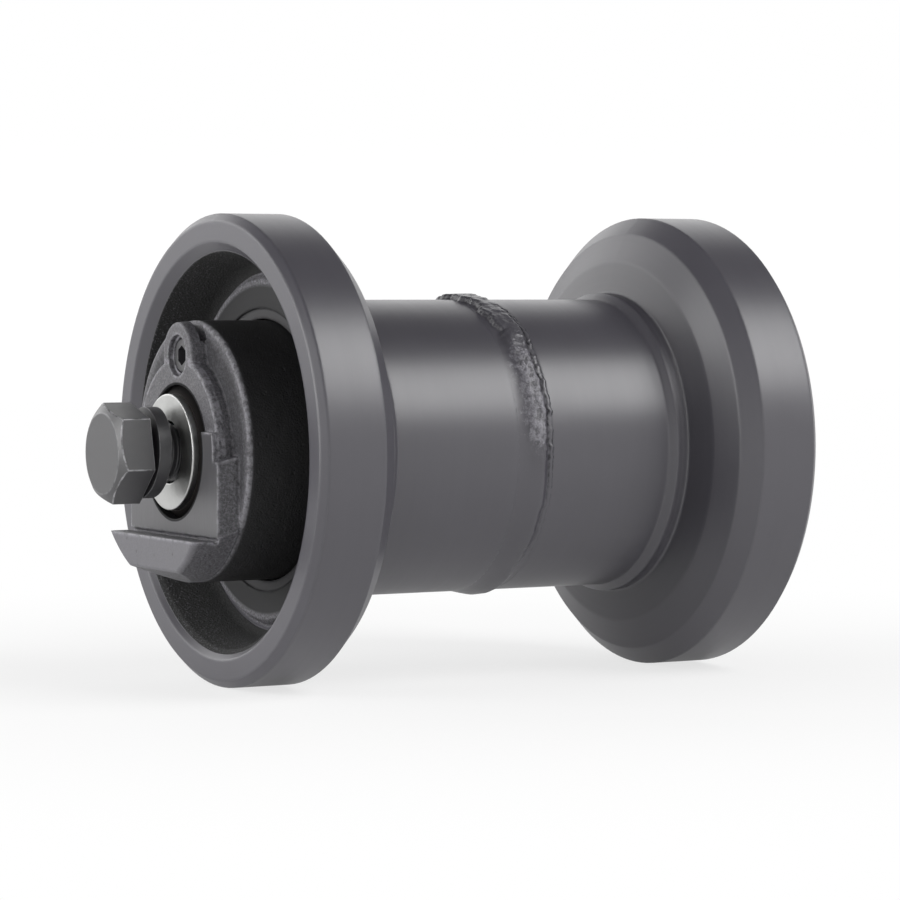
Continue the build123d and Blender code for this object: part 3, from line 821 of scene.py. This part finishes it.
# %% Places on the collar
# In order: the machined pad, the ledge's front, the side and the rim of the disc, the rim and the
# foot of the boss, and the bore.
PAD_OUT = (111.2 * MM, 111.4 * MM)
PAD_BOTTOM = -27.5 * MM
LEDGE_FACE_OUT = 118.5 * MM
DISC_SIDE_RADIUS = 43.8 * MM
DISC_SIDE_OUT = 102.0 * MM
DISC_RIM_OUT = (103.2 * MM, 104.8 * MM)
DISC_RIM_RADIUS = (42.6 * MM, 44.2 * MM)
BOSS_RIM_OUT = (107.2 * MM, 110.0 * MM)
BOSS_RIM_RADIUS = (30.4 * MM, 32.6 * MM)
BOSS_FOOT_OUT = (100.0 * MM, 105.0 * MM)
BOSS_FOOT_RADIUS = (31.0 * MM, 38.5 * MM)
BORE_RADIUS = 23.1 * MM
print("pad plane:", round(sum(PAD_OUT) / len(PAD_OUT) / MM, 1), "mm out")


# %% Cast collar
def make_casting():
    cast = Finish("collar_casting")
    on_pad_plane = cast.between(cast.out, *PAD_OUT, 0.03 * MM)
    pad = on_pad_plane * cast.above(cast.z, PAD_BOTTOM, 1.0 * MM)
    on_side = cast.above(cast.radius, DISC_SIDE_RADIUS, 1.0 * MM)
    disc_side = on_side * cast.below(cast.out, DISC_SIDE_OUT, 2.5 * MM)
    ledge_face = cast.above(cast.out, LEDGE_FACE_OUT, 1.5 * MM)
    bore = cast.below(cast.radius, BORE_RADIUS, 0.5 * MM)
    disc_rim = cast.between(cast.radius, *DISC_RIM_RADIUS, 0.4 * MM)
    disc_rim = disc_rim * cast.between(cast.out, *DISC_RIM_OUT, 0.4 * MM)
    boss_rim = cast.between(cast.radius, *BOSS_RIM_RADIUS, 0.5 * MM)
    boss_rim = boss_rim * cast.between(cast.out, *BOSS_RIM_OUT, 0.5 * MM)
    foot = cast.between(cast.out, *BOSS_FOOT_OUT, 0.8 * MM)
    foot = foot * cast.between(cast.radius, *BOSS_FOOT_RADIUS, 4.0 * MM)

    grain = cast.noise(0.8 * MM, 4.0, 0.75)
    swell = cast.noise(6.0 * MM, 3.0, 0.5)
    holes = cast.pits(2.4 * MM, 0.16)
    strokes = cast.noise(0.5 * MM, 2.0, 0.6, cast.point(cast.x, cast.z * 0.06, cast.y * 0.1))
    worn_and_lit = cast.step(cast.noise(2.2 * MM, 4.0, 0.7), 0.36, 0.60)
    # Painted highlight: the rims are lighter on the upper side
    upper = 0.35 + cast.step(cast.z, -34 * MM, -10 * MM) * 0.65
    rims = (disc_rim * 0.50 + boss_rim * 0.60) * upper
    edge_wear_and_highlight = cast.math("MAXIMUM", cast.edges(2.6 * MM), rims) * worn_and_lit

    skin = cast.blend(cast.step(grain, 0.40, 0.68), gray(0.034, 0.14), gray(0.125, 0.14))
    # Painted shade: the disc's side is coloured darker
    shaded_side_skin = cast.blend(cast.step(grain, 0.60, 0.78), gray(0.010, 0.14), gray(0.060, 0.14))
    machined = cast.blend(strokes, gray(0.052, 0.08), gray(0.088, 0.08))
    color = cast.blend(disc_side, skin, shaded_side_skin)
    # Painted light: the ledge's front is coloured lighter
    color = cast.blend(ledge_face * 0.85, color, gray(0.115, 0.12))
    color = cast.blend(pad, color, machined)
    # Painted shade in the pits
    color = cast.blend(holes * (1 - pad) * 0.6, color, gray(0.008))
    # Edges and rims lightened in patches, as wear and painted highlight
    color = cast.blend(edge_wear_and_highlight * (1 - bore) * 0.8, color, gray(0.34, 0.10))

    raw = (1 - pad) * (1 - ledge_face * 0.6)
    sand = grain * (0.44 * MM) + swell * (0.50 * MM) - holes * (0.25 * MM)
    height = sand * raw + strokes * pad * (0.01 * MM)
    cast.shadow(bore * 0.8 + (foot * 0.45 + disc_side * 0.35) * (1 - bore))
    return cast.finish(
        Base_Color=color,
        Roughness=0.46 - pad * 0.14 - ledge_face * 0.04 + grain * 0.12,
        Specular_IOR_Level=0.8,
        Normal=cast.bump(height, 1.1 * MM),
    )


casting = make_casting()
print("made", casting.name)

# %% [markdown]
# ## Bright zinc, shaft steel and the hidden pieces
#
# The plain washer is bright zinc: nearly a mirror, with the fine marks of stamping. The shaft is
# ground steel. Its ends are coloured near black with a brown tint, as painted shade, and shaded
# darker still towards the narrow gap round them. The pieces inside the shells, bushings, seal
# rings, rubber, O-rings and pins, get their real finishes too, for anyone who takes the roller
# apart.

# %% Zinc, steel, turned metal and rubber
SHAFT_END_OUT = 108.2 * MM
SHAFT_GAP_RADIUS = 21.5 * MM


def make_bright_zinc():
    zinc = Finish("bright_zinc")
    cloud = zinc.noise(4 * MM, 3.0, 0.6)
    marks = zinc.noise(0.4 * MM, 2.0, 0.6, zinc.point(zinc.radius, zinc.y * 0.5))
    height = cloud * (0.12 * MM) + marks * (0.008 * MM)
    return zinc.finish(
        Base_Color=zinc.blend(cloud, gray(0.47, -0.02), gray(0.59, -0.02)),
        Metallic=1.0,
        Roughness=0.27 + cloud * 0.10 + marks * 0.06,
        Normal=zinc.bump(height, 0.6 * MM),
    )


def make_shaft_steel():
    steel = Finish("shaft_steel")
    marks = steel.noise(0.4 * MM, 2.0, 0.6, steel.rings(30 * MM, 2 * MM))
    cloud = steel.noise(8 * MM, 3.0)
    end_face = steel.above(steel.out, SHAFT_END_OUT, 0.4 * MM)
    bare = steel.blend(cloud, gray(0.42), gray(0.52))
    # Painted shade: the end face is coloured near black, with a brown tint
    dark = steel.blend(cloud, (0.006, 0.005, 0.005, 1.0), (0.018, 0.014, 0.013, 1.0))
    steel.shadow(end_face * steel.above(steel.radius, SHAFT_GAP_RADIUS, 2.5 * MM) * 0.8)
    return steel.finish(
        Base_Color=steel.blend(end_face, bare, dark),
        Metallic=1.0 - end_face,
        Roughness=0.26 + marks * 0.12 + end_face * 0.35,
        Specular_IOR_Level=0.15,
        Normal=steel.bump(marks * (0.008 * MM), 0.3 * MM),
    )


def make_turned_metal(name, dark, light, roughness, marks_depth):
    """Ground or turned metal with fine rings round the shaft's axis and a cloudy tone."""
    metal = Finish(name)
    marks = metal.noise(0.4 * MM, 2.0, 0.6, metal.rings(30 * MM, 2 * MM))
    cloud = metal.noise(6 * MM, 3.0)
    return metal.finish(
        Base_Color=metal.blend(cloud, dark, light),
        Metallic=1.0,
        Roughness=roughness + marks * 0.12,
        Normal=metal.bump(marks * marks_depth, 0.3 * MM),
    )


def make_rubber():
    rubber = Finish("seal_rubber")
    bloom = rubber.noise(4 * MM, 4.0, 0.6)
    grain = rubber.noise(0.3 * MM, 2.0)
    return rubber.finish(
        Base_Color=rubber.blend(bloom, gray(0.012), gray(0.030, -0.04)),
        Roughness=0.55 + bloom * 0.2,
        Normal=rubber.bump(grain * (0.01 * MM)),
    )


print("small finishes ready")

# %% Small finishes
bronze_dark = (0.50, 0.30, 0.13, 1.0)
bronze_light = (0.64, 0.42, 0.20, 1.0)
iron_dark = gray(0.40, 0.02)
iron_light = gray(0.50, 0.02)

bright_zinc = make_bright_zinc()
shaft_steel = make_shaft_steel()
bushing_bronze = make_turned_metal("bushing_bronze", bronze_dark, bronze_light, 0.30, 0.010 * MM)
seal_iron = make_turned_metal("seal_ring_iron", iron_dark, iron_light, 0.18, 0.003 * MM)
pin_steel = make_turned_metal("pin_steel", gray(0.38), gray(0.46), 0.28, 0.006 * MM)
seal_rubber = make_rubber()
print("made", len(bpy.data.materials), "materials")

# %% [markdown]
# ## Dress the fixed pieces
#
# The other pieces keep their CAD shapes. Each takes its finish through its material slots, by
# the longest of these words that its name starts with.

# %% Dress the fixed pieces
FINISH_OF = {
    "shell": wheel_coat,
    "collar": casting,
    "shaft_oring": seal_rubber,
    "shaft": shaft_steel,
    "bushing": bushing_bronze,
    "seal_ring": seal_iron,
    "seal_toric": seal_rubber,
    "oil_plug": black_oxide,
    "lock_pin": pin_steel,
    "spring_washer": black_oxide,
    "plain_washer": bright_zinc,
}
dressed = 0
for name, node in nodes.items():
    kinds = [kind for kind in FINISH_OF if name.startswith(kind)]
    if kinds:
        finish = FINISH_OF[max(kinds, key=len)]
        for slot in node.material_slots:
            slot.material = finish
            dressed += 1
print("dressed", dressed, "slots")

# %% Colour view
scene.view_settings.view_transform = "Standard"
